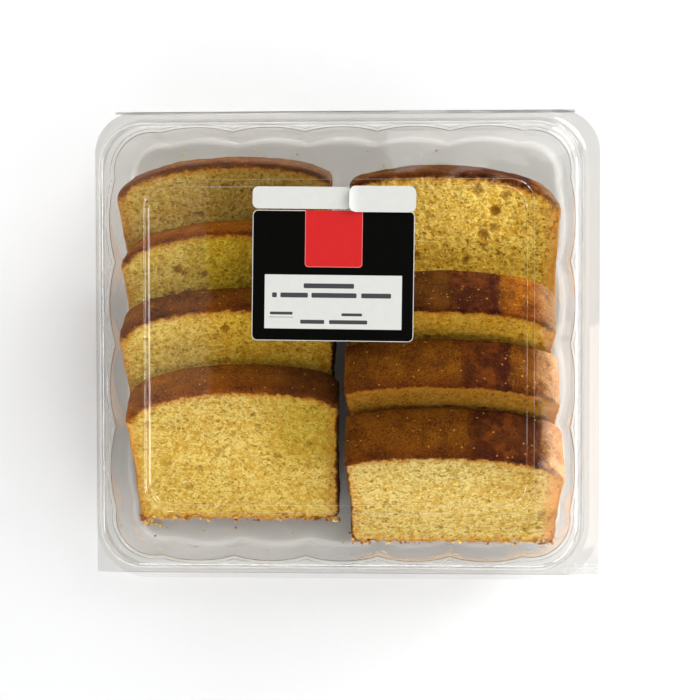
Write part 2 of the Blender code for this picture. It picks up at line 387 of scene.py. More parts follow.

# %% [markdown]
# ## The slice's material
#
# One material covers crumb and crust. Two measures are stored on the mesh, so the graph knows
# where it is: `skin_depth`, the distance in millimetres to the baked skin, and `skin_side`, which
# is 1 under the dome, 0.5 at the sides and 0 at the foot. The crust fades into the crumb through
# an orange band, as it does where heat has reached in from outside, and it is darkest along its
# front edge. Where the loaf has split along its top, a wandering strip of crust is darker still;
# the right row's loaf has such a split. Light and shade are painted in too: painted light on the
# right row's outer shoulder and the crumb's edge beside it, and painted shade in the crumb's pits
# and hollows, across each cut face, towards its foot, on the side between the two rows and in
# part of each crust's tone, with a painted haze greying one crust.

# %% Bread colours
CRUMB_PALE = srgb(250, 222, 136)
CRUMB_GOLD = srgb(218, 172, 66)
# painted shade: the colours in the crumb's pits and in its large hollows
CRUMB_PIT_SHADE = srgb(164, 114, 30)
HOLLOW_SHADE = srgb(170, 120, 34)
BAND_ORANGE = srgb(196, 122, 34)
CRUST_DARK = srgb(76, 34, 0)
CRUST_BROWN = srgb(144, 85, 10)
CRUST_DUST = srgb(214, 150, 76)
# painted haze: a grey reflection of the lid laid over a crust
CRUST_HAZE_GREY = srgb(150, 125, 105)
CRUST_BURN = (0.70, 0.42, 0.30, 1.0)      # multiplies the crust at its front edge
SPLIT_DARK = srgb(58, 16, 4)
SPLIT_ORANGE = srgb(108, 50, 10)
# painted light: the right row's outer shoulder, where the light from the right falls
LIT_SHOULDER_PEACH = srgb(194, 152, 108)
LIT_SHOULDER_BROWN = srgb(138, 86, 48)
# painted light on the crumb's outer edge beside that shoulder
EDGE_LIGHT_PEACH = srgb(236, 164, 98)
# painted shade on the side between the two rows
INNER_SIDE_SHADE = srgb(96, 48, 10)
SIDE_GOLD = srgb(212, 154, 78)
SIDE_BROWN = srgb(180, 106, 38)
print("crumb from", [round(value, 2) for value in CRUMB_GOLD[:3]], "to",
      [round(value, 2) for value in CRUMB_PALE[:3]])

# %% Slice material
FOOT_PITS = (8 * MM, 1 * MM)       # heights on the cut face between which the painted shade in the pits deepens
FOOT_SHADE = (46 * MM, 26 * MM)     # heights between which the foot's painted shade takes over
EDGE_LIGHT_FADE = (40 * MM, 49 * MM)    # distances from a slice's middle over which the edge's painted light comes in
# distances across which a crust's browning and painted shade go from its left value to its right
TONE_AND_SHADE_FADE = (0.0, 40 * MM)
# painted light on the outer shoulder: where it comes in, and how far its edge wanders
LIT_SHOULDER_FADE = (43 * MM, 54 * MM)
LIT_SHOULDER_WANDER = 12 * MM
BURN_REACH = 9 * MM                # how far back from the front edge the crust is darker
INNER_END = 45 * MM                # where the side between the two rows is
SPLIT_WANDER = 11 * MM
SPLIT_EDGE = 1.6 * MM
DARK_START = (1.8 * MM, 0.3 * MM)  # how wide the split's dark edges are, and their darkest part
DARK_END = (3.2 * MM, 0.6 * MM)
JAGGED_WAVES = 260.0               # waves per metre of the line between crust and crumb
JAGGED = 5.0                       # breadth that the line strays over, in millimetres
SIDE_THICK, DOME_EXTRA = 1.4, 2.0  # thickness of the skin in millimetres
TONE_RANGE = (0.15, 0.85)


def split_masks(tree, spot, across, start, end):
    """Masks for the split strip between start and end across the loaf, and for its dark edges."""
    wander = times(tree, waves(tree, spot, BLOTCH_WAVES, 4.0, 0.7), SPLIT_WANDER)
    moved = plus(tree, across, minus(tree, wander, SPLIT_WANDER / 2))
    strip = times(tree, ease(tree, moved, start, start + SPLIT_EDGE),
                  ease(tree, moved, end + SPLIT_EDGE, end))
    to_start, to_end = [calc(tree, "ABSOLUTE", minus(tree, moved, side)) for side in (start, end)]
    edges = plus(tree, ease(tree, to_end, *DARK_END), times(tree, ease(tree, to_start, *DARK_START), 0.6),
                 clamp=True)
    return strip, edges


def crumb_colours(tree, crumb, axes, hollow, openness, shade_tints, turns):
    """Pale to gold crumb, with painted shade in its pits and hollows, across the cut face and towards its
    foot.
    """
    colour = blend_colours(tree, ease(tree, crumb["Tone"], *TONE_RANGE), CRUMB_GOLD, CRUMB_PALE)
    # painted shade in the hollows and pits, deeper near the foot
    colour = blend_colours(tree, hollow, colour, HOLLOW_SHADE)
    shade = plus(tree, times(tree, ease(tree, axes["Z"], *FOOT_PITS), 0.4), 0.35 + 0.3 * openness)
    colour = blend_colours(tree, times(tree, crumb["Holes"], shade), colour, CRUMB_PIT_SHADE)
    # painted shade: the crumb darker towards one side of the cut face and towards its foot, where the slices
    # shade each other
    left, right, foot = [(*tint, 1.0) for tint in shade_tints]
    tint = blend_colours(tree, ease(tree, axes["X"], turns[0] * MM, turns[1] * MM), left, right)
    tint = blend_colours(tree, ease(tree, axes["Z"], *FOOT_SHADE), tint, foot)
    return blend_colours(tree, 1.0, colour, tint, "MULTIPLY")


def dome_colours(tree, crust, spot, axes, crust_tone_and_shade, split):
    """The top crust, with the split where the loaf has one, and painted light on its outer shoulder."""
    left, right, painted_haze = crust_tone_and_shade
    colour = blend_colours(tree, ease(tree, crust["Tone"], *TONE_RANGE), CRUST_DARK, CRUST_BROWN)
    # browning and painted shade, from the crust's left to its right
    browning_and_shade = plus(tree, times(tree, ease(tree, axes["X"], *TONE_AND_SHADE_FADE), right - left), left)
    colour = blend_colours(tree, 1.0, colour, browning_and_shade, "MULTIPLY")
    # painted haze: a grey laid over the crust as a reflection of the lid
    colour = blend_colours(tree, painted_haze, colour, CRUST_HAZE_GREY)
    burnt = times(tree, ease(tree, axes["Y"], BURN_REACH, 0.0), 0.6)
    colour = blend_colours(tree, burnt, colour, CRUST_BURN, "MULTIPLY")
    if split:
        start, end, shoulder_light = split
        strip, edges = split_masks(tree, spot, axes["X"], start * MM, end * MM)
        ember = blend_colours(tree, ease(tree, crust["Blotches"], 0.46, 0.66), SPLIT_DARK, SPLIT_ORANGE)
        colour = blend_colours(tree, times(tree, strip, 0.75), colour, ember)
        colour = blend_colours(tree, times(tree, edges, 0.8), colour, SPLIT_DARK)
        # painted light on the outer shoulder, lit from the right
        shoulder = blend_colours(tree, ease(tree, crust["Tone"], 0.1, 0.8), LIT_SHOULDER_BROWN, LIT_SHOULDER_PEACH)
        shoulder = blend_colours(tree, 1.0, shoulder, (shoulder_light, shoulder_light, shoulder_light, 1.0), "MULTIPLY")
        wander = plus(tree, axes["X"], times(tree, crust["Blotches"], LIT_SHOULDER_WANDER))
        colour = blend_colours(tree, ease(tree, wander, *LIT_SHOULDER_FADE), colour, shoulder)
    return blend_colours(tree, times(tree, crust["Dust"], 0.8), colour, CRUST_DUST)


def side_colours(tree, crust, axes, split):
    """The baked sides: golden outside, and painted shade on the side between the two rows."""
    colour = blend_colours(tree, ease(tree, crust["Tone"], 0.2, 0.8), SIDE_BROWN, SIDE_GOLD)
    inner_end = -INNER_END if split else INNER_END
    return blend_colours(tree, ease(tree, axes["X"], 0.4 * inner_end, inner_end), colour, INNER_SIDE_SHADE)


def slice_material(name, seed, openness, shade_tints, turns, crust_tone_and_shade, split=None):
    """One slice's crumb and crust.

    The crumb's tints are painted shade: they multiply its colour at its left, right and foot;
    turns is where, in millimetres across, left gives way to right. The crust's values multiply
    it at its left and right, for its browning and for painted shade, then grey it with a painted
    haze. split is the start and end of a split, in millimetres across, and the strength of the
    painted light on the shoulder.
    """
    material, tree, shader = start_material(name)
    spot = own_place(tree)
    axes = along_axes(tree, spot)
    depth, side, hollow = [put(tree, "ShaderNodeAttribute", attribute_name=measure).outputs["Fac"]
                           for measure in ("skin_depth", "skin_side", "hollow")]
    crumb = use_group(tree, crumb_group, {"Vector": spot, "Seed": seed, "Openness": openness})
    crust = use_group(tree, crust_group, {"Vector": spot, "Seed": seed})

    crumb_colour = crumb_colours(tree, crumb, axes, hollow, openness, shade_tints, turns)
    if split:
        # painted light on the crumb's outer edge, as strong as on the shoulder
        edge_light = times(tree, ease(tree, axes["X"], *EDGE_LIGHT_FADE), 0.6 * split[2])
        crumb_colour = blend_colours(tree, edge_light, crumb_colour, EDGE_LIGHT_PEACH)
    on_dome = ease(tree, plus(tree, side, times(tree, crust["Tone"], 0.2)), 0.62, 0.80)
    skin_colour = blend_colours(tree, on_dome, side_colours(tree, crust, axes, split),
                                dome_colours(tree, crust, spot, axes, crust_tone_and_shade, split))

    stray = times(tree, minus(tree, waves(tree, spot, JAGGED_WAVES, 4.0, 0.7), 0.5), JAGGED)
    ragged = plus(tree, plus(tree, depth, stray), times(tree, crumb["Tone"], 1.2))
    into = minus(tree, ragged, plus(tree, times(tree, on_dome, DOME_EXTRA), SIDE_THICK))
    band = blend_values(tree, on_dome, times(tree, ease(tree, into, 7.0, 0.0), 0.62),
                        ease(tree, into, 3.4, 0.4))
    skin = ease(tree, into, 1.3, -0.6)
    colour = blend_colours(tree, times(tree, band, 0.75), crumb_colour, BAND_ORANGE)
    colour = blend_colours(tree, skin, colour, skin_colour)
    tree.links.new(colour, shader.inputs["Base Color"])

    relief = blend_values(tree, skin, crumb["Height"], crust["Height"])
    tree.links.new(relief_normal(tree, relief, 0.9, 1.1 * MM), shader.inputs["Normal"])
    tree.links.new(stretch(tree, skin, 0.95, 0.62), shader.inputs["Roughness"])
    shader.inputs["Specular IOR Level"].default_value = 0.06
    return material


print("the skin is", SIDE_THICK, "mm thick at the sides and", SIDE_THICK + DOME_EXTRA, "mm on top")

# %% [markdown]
# ## The slices' shape
#
# Each slice starts as a copy of its CAD solid. A voxel remesh turns the few large faces into
# small even squares, and those can then be pushed about. The work is done in a frame of the
# slice's own, with Y into the slice and Z up its leaning cut face, so that one recipe fits every
# slice however far it leans.

# %% Slice frame and dense mesh
VOXEL = 0.8 * MM
LEANING = Vector((0.0, -0.6, 0.8))     # roughly where every front cut face points


def area_normal(mesh, towards, limit):
    """The average direction of the faces that point within limit of towards."""
    total = Vector()
    for face in mesh.polygons:
        if face.normal.dot(towards) > limit:
            total += face.area * face.normal
    return total.normalized()


def slice_frame(mesh):
    """Origin at the front foot's middle, X across, Y into the slice and Z up its cut face."""
    front = area_normal(mesh, area_normal(mesh, LEANING, 0.75), 0.999)
    across, into, up = Vector((1.0, 0.0, 0.0)), -front, Vector((0.0, front.z, -front.y))
    reach = {name: [vertex.co.dot(axis) for vertex in mesh.vertices]
             for name, axis in (("across", across), ("into", into), ("up", up))}
    origin = (0.5 * (min(reach["across"]) + max(reach["across"])) * across
              + min(reach["into"]) * into + min(reach["up"]) * up)
    turn = Matrix((across, into, up)).transposed()
    return Matrix.Translation(origin) @ turn.to_4x4()


def show(name, mesh):
    """Puts a mesh into the scene as an object."""
    piece = bpy.data.objects.new(name, mesh)
    scene.collection.objects.link(piece)
    return piece


def remeshed(mesh, voxel):
    """A copy of the mesh in even squares of that size."""
    helper = show("helper", mesh)
    remesh = helper.modifiers.new("even squares", "REMESH")
    remesh.mode = "VOXEL"
    remesh.voxel_size = voxel
    shaped = helper.evaluated_get(bpy.context.evaluated_depsgraph_get())
    dense = bpy.data.meshes.new_from_object(shaped)
    bpy.data.objects.remove(helper)
    return dense


def positions(mesh):
    values = np.empty(3 * len(mesh.vertices), np.float32)
    mesh.vertices.foreach_get("co", values)
    return values.reshape(-1, 3)


def store(mesh, name, values):
    """Keeps one number for each vertex, for the material to read."""
    mesh.attributes.new(name, "FLOAT", "POINT").data.foreach_set("value", np.asarray(values, np.float32))


first_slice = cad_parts["slice_left_1"].data
print("first slice's foot in mm:", [round(value / MM, 1) for value in slice_frame(first_slice).translation])

# %% [markdown]
# ## The slices' relief
#
# A cut face is torn and slightly wavy, with round air holes, so its relief only goes inwards. The
# crust has soft swells that go both ways by about half a millimetre, and the foot's edge is
# ragged. Points that would sink through the tray's floor are lifted back onto it.

# %% Slice relief
FILM = 0.3 * MM           # thickness of the clear sheet
tray_low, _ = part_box("tray")
floor_z = tray_low.z + FILM
AIR_HOLES = 40            # on each cut face
AIR_HOLE_SMALL, AIR_HOLE_LARGE = 0.7 * MM, 2.3 * MM
AIR_HOLE_SHADE = 0.35     # how dark the painted shade in a usual hole is; the large ones have a darkness of their own
BOWL = 0.6                # depth of a hole, as a share of its radius
CUT_WAVE, CUT_WAVE_LENGTH = 0.6 * MM, 22 * MM
CUT_TEAR, CUT_TEAR_LENGTH = 0.9 * MM, 2.4 * MM
CRUST_SWELL, CRUST_SWELL_LENGTH = 1.1 * MM, 16 * MM
CRUST_GRAIN, CRUST_GRAIN_LENGTH = 0.5 * MM, 1.9 * MM
FOOT_RAGGED, FOOT_RAGGED_LENGTH, FOOT_HEIGHT = 3.0 * MM, 3.5 * MM, 4 * MM
SKIN_EDGE = 1.5           # distance to the skin, in millimetres, where a cut face's relief is whole
SEED_STEPS = (0.37, 0.11, 0.23)       # each seed moves the noise this far, so no two slices match


def ripple(point, wavelength, octaves=2):
    """Smooth noise between about 0 and 1 whose waves are about that long."""
    return 0.5 + 0.5 * noise.fractal(point / wavelength, 0.7, 2.0, octaves, noise_basis="PERLIN_ORIGINAL")


def press_air_holes(points, faces_y, width, height, random, large):
    """How deep each point of the cut faces is pressed, and how much painted shade it gets inside an air hole.

    large lists (across, up, radius in mm, darkness) of the large hollows in the front face; darkness is the
    strength of their painted shade.
    """
    depth = np.zeros(len(points))
    inside = np.zeros(len(points))
    tree = KDTree(len(points))
    for index, point in enumerate(points):
        tree.insert(point, index)
    tree.balance()
    holes = [(Vector((x * MM, faces_y[0], z * MM)), radius * MM, dark) for x, z, radius, dark in large]
    for face_y in faces_y:
        for _ in range(AIR_HOLES):
            radius = AIR_HOLE_SMALL + (AIR_HOLE_LARGE - AIR_HOLE_SMALL) * random.random() ** 4
            across = (random.random() - 0.5) * 0.92 * width
            up = (0.05 + 0.8 * random.random()) * height
            holes.append((Vector((across, face_y, up)), radius, AIR_HOLE_SHADE))
    for spot, radius, strength in holes:
        for _, index, distance in tree.find_range(spot, radius):
            bowl = math.sqrt(max(0.0, 1 - (distance / radius) ** 2))
            depth[index] = max(depth[index], BOWL * radius * bowl)
            inside[index] = max(inside[index], strength * min(1.0, 1.8 * bowl))
    return depth, inside


def push_in(spot, skin_distance, air, foot_z):
    """How far a slice's point moves in, for its place in the noise, on the face and above the foot."""
    cut = min(1.0, skin_distance / (SKIN_EDGE * MM))
    wave = CUT_WAVE * ripple(spot, CUT_WAVE_LENGTH) + CUT_TEAR * ripple(spot, CUT_TEAR_LENGTH, 3)
    swell = (CRUST_SWELL * (ripple(spot, CRUST_SWELL_LENGTH, 3) - 0.5)
             + CRUST_GRAIN * (ripple(spot, CRUST_GRAIN_LENGTH) - 0.5))
    near_foot = max(0.0, 1 - foot_z / FOOT_HEIGHT)
    foot = FOOT_RAGGED * near_foot * (ripple(spot, FOOT_RAGGED_LENGTH) - 0.5)
    return cut * (wave + air) + (1 - cut) * swell + foot


def make_slice(node, seed, openness, shade_tints, turns, crust_tone_and_shade, large=(), split=None):
    """Makes one slice over its CAD solid, pushes its relief in and gives it its own material."""
    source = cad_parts[node].data
    place = slice_frame(source)
    local = source.copy()
    local.transform(place.inverted())
    dense = remeshed(local, VOXEL)
    points = positions(dense)
    low, high = points.min(0), points.max(0)

    corners = [vertex.co.copy() for vertex in local.vertices]
    skin_faces = [tuple(face.vertices) for face in local.polygons if abs(face.normal.y) < 0.4]
    skin = BVHTree.FromPolygons(corners, skin_faces)
    air, hollow = press_air_holes(points, (low[1], high[1]), high[0] - low[0], high[2] - low[2],
                                  np.random.default_rng(seed), large)
    offset = Vector([seed * step for step in SEED_STEPS])
    depth, side, moved = np.zeros(len(points)), np.zeros(len(points)), []
    for index, vertex in enumerate(dense.vertices):
        spot = vertex.co
        _, outward, _, distance = skin.find_nearest(spot)
        depth[index] = distance / MM
        side[index] = 0.5 + 0.5 * outward.z
        push = push_in(spot + offset, distance, air[index], spot.z - low[2])
        moved.append(spot - vertex.normal * float(push))
    moved = np.array(moved, np.float32)
    down = np.array(place.row[2], np.float32)
    sunk = np.maximum(0.0, floor_z - (moved @ down[:3] + down[3]))
    moved += sunk[:, None] * down[:3]
    dense.vertices.foreach_set("co", moved.ravel())
    store(dense, "skin_depth", depth)
    store(dense, "skin_side", side)
    # the painted shade inside the air holes, kept off the skin
    store(dense, "hollow", hollow * (depth > SKIN_EDGE))
    dense.shade_smooth()
    dense.materials.clear()
    dense.materials.append(slice_material("cornbread " + node, seed, openness, shade_tints, turns, crust_tone_and_shade, split))

    piece = show("bread_" + node, dense)
    piece.matrix_world = place
    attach(piece, "tray")
    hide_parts(node)
    lean = math.degrees(math.asin(place.col[2].y))
    print(f"{piece.name}: {len(dense.vertices)} points, leans {lean:.0f} degrees")
    return piece


print("sheet:", FILM / MM, "mm, tray floor at", round(floor_z / MM, 2), "mm")

# %% [markdown]
# ## Eight slices, each a little different
#
# No two slices are baked, torn or lit alike, so each has its own values, from the front of its
# row to the back; their tints and part of their crust values are painted shade, and the split's
# last value is painted light on the shoulder. `slice_material` and `press_air_holes` say what
# they mean. Few slices have large hollows, and only the right row comes from a split loaf.

# %% Make the slices
# painted shade in each slice's tints and crust values; painted light in the split's last value
SLICE_LOOKS = {
    "slice_left_1": {
        "seed": 1, "openness": 0.5, "turns": (5, 32), "crust_tone_and_shade": (1.35, 0.62, 0.03),
        "shade_tints": ((0.83, 0.82, 0.7), (0.62, 0.6, 0.28), (0.84, 0.83, 0.68))},
    "slice_right_1": {
        "seed": 11, "openness": 0.5, "turns": (0, 40), "crust_tone_and_shade": (0.9, 0.7, 0.0),
        "shade_tints": ((0.8, 0.84, 0.92), (0.68, 0.63, 0.58), (0.8, 0.82, 0.87)),
        "split": (6, 39, 1.3)},
    "slice_left_2": {
        "seed": 2, "openness": 0.55, "turns": (-25, 5), "crust_tone_and_shade": (0.93, 0.83, 0.0),
        "shade_tints": ((0.95, 0.94, 0.7), (0.9, 0.77, 0.27), (0.78, 0.73, 0.44)),
        "large": ((-4.6, 61.5, 1.4, 0.5), (0.0, 66.1, 2.2, 0.8))},
    "slice_right_2": {
        "seed": 12, "openness": 0.6, "turns": (0, 40), "crust_tone_and_shade": (0.97, 0.8, 0.0),
        "shade_tints": ((0.47, 0.31, 0.11), (0.47, 0.31, 0.11), (0.41, 0.27, 0.09)),
        "split": (4, 25, 1.0)},
    "slice_left_3": {
        "seed": 3, "openness": 0.6, "turns": (-30, -5), "crust_tone_and_shade": (1.28, 0.97, 0.0),
        "shade_tints": ((0.88, 0.86, 0.58), (0.76, 0.72, 0.18), (0.72, 0.68, 0.3)),
        "large": ((-23.6, 58.6, 2.2, 0.9), (-20.8, 57.0, 1.4, 0.7), (-11.0, 56.5, 1.6, 0.8))},
    "slice_right_3": {
        "seed": 13, "openness": 0.6, "turns": (0, 40), "crust_tone_and_shade": (0.55, 1.5, 0.0),
        "shade_tints": ((0.79, 0.62, 0.205), (0.79, 0.62, 0.205), (0.7, 0.55, 0.18)),
        "split": (0, 20, 0.58)},
    "slice_left_4": {
        "seed": 4, "openness": 0.6, "turns": (-25, 5), "crust_tone_and_shade": (0.9, 0.5, 0.25),
        "shade_tints": ((0.77, 0.73, 0.55), (0.52, 0.48, 0.36), (0.52, 0.47, 0.3))},
    "slice_right_4": {
        "seed": 14, "openness": 0.62, "turns": (15, 45), "crust_tone_and_shade": (0.7, 1.05, 0.0),
        "shade_tints": ((1.0, 0.94, 0.63), (0.69, 0.61, 0.33), (0.66, 0.62, 0.27)),
        "large": ((19.1, 51.9, 2.5, 0.9), (13.1, 40.3, 2.7, 0.55), (17.8, 43.7, 2.2, 0.35),
                  (10.0, 62.0, 2.8, 0.3), (12.7, 68.0, 2.2, 0.3)),
        "split": (1, 34, 0.58)},
}
breads = [make_slice(node, **looks) for node, looks in SLICE_LOOKS.items()]

# %% [markdown]
# ## The clear plastic
#
# The pack is formed from a thin clear sheet. As glass with both of its faces modelled, it bends
# and mirrors light as the real sheet does. A glass body would throw a black shadow, so the
# material lets shadow rays through, less of them where the sheet is seen edge on. The sheet is a
# little wavy from forming, which a faint bump shows, and the tray's rim is knurled at one corner.

# %% Plastic material
SHEET_WAVES = 35.0        # waves per metre
KNURL_DOTS = 620.0        # dots per metre
KNURL_X, KNURL_Y = (101 * MM, 103 * MM), (-103 * MM, -105 * MM)     # where the knurling fades in
HEAD_ON = 0.04            # share of the light that the sheet mirrors when it is seen head on


def plastic_material(name, tint, roughness=0.03, knurled=False):
    """Clear sheet. tint is what comes through it; knurled roughens the tray rim's corner."""
    material, tree, shader = start_material(name)
    spot = own_place(tree)
    knurl = None
    if knurled:
        axes = along_axes(tree, spot)
        dots = put(tree, "ShaderNodeTexVoronoi",
                   {"Vector": spot, "Scale": KNURL_DOTS, "Randomness": 0.15}).outputs
        corner = times(tree, ease(tree, axes["X"], *KNURL_X), ease(tree, axes["Y"], *KNURL_Y))
        raised = times(tree, ease(tree, dots["Distance"], 0.40, 0.15), corner)
        knurl = relief_normal(tree, raised, 1.0, 0.3 * MM)
    wavy = relief_normal(tree, waves(tree, spot, SHEET_WAVES), 0.35, 0.6 * MM, knurl)
    tree.links.new(wavy, shader.inputs["Normal"])
    shader.inputs["Base Color"].default_value = (*tint, 1.0)
    shader.inputs["Roughness"].default_value = roughness
    shader.inputs["IOR"].default_value = 1.45
    shader.inputs["Transmission Weight"].default_value = 1.0
    glancing = put(tree, "ShaderNodeLayerWeight", {"Blend": 0.5}).outputs["Facing"]
    mirrored = plus(tree, times(tree, calc(tree, "POWER", glancing, 5.0), 1 - HEAD_ON), HEAD_ON)
    passed = minus(tree, math.sqrt(tint[1]) + 0.01, mirrored, clamp=True)
    through = put(tree, "ShaderNodeBsdfTransparent", {"Color": passed})
    rays = put(tree, "ShaderNodeLightPath")
    mixed = put(tree, "ShaderNodeMixShader",
                {0: rays.outputs["Is Shadow Ray"], 1: shader.outputs[0], 2: through.outputs[0]})
    tree.links.new(mixed.outputs[0], tree.nodes["Material Output"].inputs["Surface"])
    return material


lid_sheet = plastic_material("clear lid sheet", (0.95, 0.945, 0.935))
# the tray's sheet is greyer than the lid's: partly its own tint, partly painted shade for the floor seen
# through it
tray_sheet_with_shade = plastic_material("clear tray sheet", (0.82, 0.81, 0.785), knurled=True)
fold_sheet = plastic_material("creased sheet", (0.72, 0.72, 0.70), 0.55)
print("sheets:", ", ".join(item.name for item in (lid_sheet, tray_sheet_with_shade, fold_sheet)))

# %% [markdown]
# ## The formed shells
#
# Tray and lid are lofts: one outline, seen from above, is repeated at each height of the section
# and joined to the next. An outline is a rounded box whose sides can bulge in even arcs, which
# gives the tray its flutes. The section runs over the outer face, round the rim's edge and back
# over the inner face, so each shell is one closed sheet.

# %% Outlines
GAP = 0.3 * MM
FLAT_RING = 0.05 * MM     # a ring this near a bend keeps the smooth shading off the flat beside it
RIM_Z = 36.0 * MM
HOLLOW = Vector((-2.2 * MM, 0.5 * MM))     # middle of the hollow, seen from above
FLUTES_SIDE = 4
FLUTES_FRONT = 5
FLUTE = 2.8 * MM
CORNER_FLUTE = 0.7        # how far the corners bulge, as a share of a flute
FLUTE_STEPS = 16
CORNER_STEPS = 24
SHARP = math.radians(50)  # edges between faces that turn more than this stay sharp


def outline(half_x, half_y, corners, middle=HOLLOW, flute=0.0, z=0.0):
    """Points of a rounded box, anticlockwise from the front of its right side.

    corners holds the radii front right, back right, back left and front left.
    """
    front_right, back_right, back_left, front_left = corners
    sides = [((half_x, front_right - half_y), (half_x, half_y - back_right), 0, FLUTES_SIDE, back_right),
             ((half_x - back_right, half_y), (back_left - half_x, half_y), 90, FLUTES_FRONT, back_left),
             ((-half_x, half_y - back_left), (-half_x, front_left - half_y), 180, FLUTES_SIDE, front_left),
             ((front_left - half_x, -half_y), (half_x - front_right, -half_y), 270, FLUTES_FRONT,
              front_right)]
    points = []
    for start, end, facing, arcs, radius in sides:
        out = Vector((math.cos(math.radians(facing)), math.sin(math.radians(facing))))
        count = arcs * FLUTE_STEPS
        for step in range(count):
            across = (step % FLUTE_STEPS) / FLUTE_STEPS
            bulge = flute * 4 * across * (1 - across)
            points.append(Vector(start).lerp(Vector(end), step / count) + out * bulge)
        centre = Vector(end) - out * radius
        for step in range(CORNER_STEPS):
            turn = math.radians(facing + 90 * step / CORNER_STEPS)
            reach = radius + CORNER_FLUTE * flute * math.sin(math.pi * step / CORNER_STEPS)
            points.append(centre + reach * Vector((math.cos(turn), math.sin(turn))))
    return [(point.x + middle.x, point.y + middle.y, z) for point in points]


def finished(name, build):
    """Turns a bmesh build into a mesh and frees it."""
    mesh = bpy.data.meshes.new(name)
    build.to_mesh(mesh)
    build.free()
    return mesh


def loft(name, rings, material):
    """One closed mesh through rings of equal point count, smooth along it and flat at its ends."""
    build = bmesh.new()
    loops = [[build.verts.new(point) for point in ring] for ring in rings]
    for lower, upper in zip(loops, loops[1:]):
        for index in range(len(lower)):
            following = (index + 1) % len(lower)
            build.faces.new((lower[index], lower[following], upper[following], upper[index])).smooth = True
    build.faces.new(list(reversed(loops[0])))
    build.faces.new(loops[-1])
    bmesh.ops.recalc_face_normals(build, faces=build.faces)
    mesh = finished(name, build)
    mesh.set_sharp_from_angle(angle=SHARP)
    mesh.materials.append(material)
    return show(name, mesh)


def bead(line, half_x, half_y, half_width, height, base, steps=10):
    """Rings over a softly rounded bead, with a flat ring on either side of it."""
    section = [(-half_width - FLAT_RING, 0.0)]
    for step in range(steps + 1):
        across = 2 * step / steps - 1
        section.append((half_width * across, height * (0.5 + 0.5 * math.cos(math.pi * across))))
    section.append((half_width + FLAT_RING, 0.0))
    return [line(half_x + reach, half_y + reach, base + rise) for reach, rise in section]


def bend(wall, inset, z, radius, start, end, steps=6):
    """Rings round part of a circle about that inset and height; angles in degrees, 0 is outwards."""
    rings = []
    for step in range(steps + 1):
        turn = math.radians(start + (end - start) * step / steps)
        rings.append(wall(inset - radius * math.cos(turn), z + radius * math.sin(turn)))
    return rings


print("points in one ring:", 2 * (FLUTES_SIDE + FLUTES_FRONT) * FLUTE_STEPS + 4 * CORNER_STEPS)

# %% [markdown]
# ## The tray
#
# The tray's wall rises with a slight draft from a rounded foot. Its flutes end at the top in a
# low ridge, and a bead runs round the flat rim and stiffens it. The rim's front corners are
# nearly square, and its back corners are round like the lid's.

# %% Tray
BEAD_HALF_X, BEAD_HALF_Y, BEAD_CORNER = 116.4 * MM, 108.4 * MM, 24.0 * MM
TRAY_BEAD = (1.8 * MM, 0.30 * MM)     # half width and height
TRAY_HALF_X, TRAY_HALF_Y, TRAY_CORNER = 109.1 * MM, 101.8 * MM, 22.5 * MM
TRAY_DRAFT = 1.6 * MM
TRAY_BEND = 0.8 * MM      # inner radius of the bend between wall and rim
FLOOR_ROUND = 3.0 * MM
RIDGE = 1.6 * MM          # height of the ridge that follows the flutes
RIDGE_FOOT = 0.4 * MM
RIM_HALF_X, RIM_HALF_Y = 120.7 * MM, 112.0 * MM
TRAY_LIP = 2.4 * MM       # how much shorter the tray's rim is than the lid's at the front
SQUARE_CORNER = 1.5 * MM
BACK_CORNER = 20.0 * MM


def tray_wall(inset, z):
    corner = TRAY_CORNER - inset
    return outline(TRAY_HALF_X - inset, TRAY_HALF_Y - inset, [corner] * 4, flute=FLUTE, z=z)


def rim_line(half_x, half_y, z):
    return outline(half_x, half_y, [BEAD_CORNER] * 4, z=z)


def tray_rim_edge(z):
    middle = Vector((0.0, TRAY_LIP / 2))
    corners = [SQUARE_CORNER, BACK_CORNER, BACK_CORNER, SQUARE_CORNER]
    return outline(RIM_HALF_X, RIM_HALF_Y - TRAY_LIP / 2, corners, middle, z=z)


def tray_skin(depth):
    """Rings from the floor's middle out to the rim's edge, that deep inside the sheet."""
    under = RIM_Z - FILM
    rings = bend(tray_wall, TRAY_DRAFT + FLOOR_ROUND, FLOOR_ROUND, FLOOR_ROUND - depth, 270, 360)
    rings += bend(tray_wall, -TRAY_BEND, under + RIDGE - TRAY_BEND, TRAY_BEND + depth, 180, 0, 10)
    rings += bend(tray_wall, -2 * TRAY_BEND - RIDGE_FOOT, under + RIDGE_FOOT, RIDGE_FOOT - depth, 180, 270, 4)
    rings += bead(rim_line, BEAD_HALF_X, BEAD_HALF_Y, *TRAY_BEAD, under + depth)
    rings.append(tray_rim_edge(under + depth))
    return rings


tray = loft("clear_tray", tray_skin(0.0) + tray_skin(FILM)[::-1], tray_sheet_with_shade)
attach(tray, "tray")
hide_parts("tray")
print("tray faces:", len(tray.data.polygons))

# %% [markdown]
# ## The lid and the hinge
#
# The lid has a plain wall, a rounded shoulder and a flat panel with a raised frame line. The line
# was pressed unevenly: on the left it is a high round bead that catches the light, and elsewhere
# a low step of which only the two thin foot lines show. Along the back, the sheet is creased into
# a thicker fold that joins lid and tray.

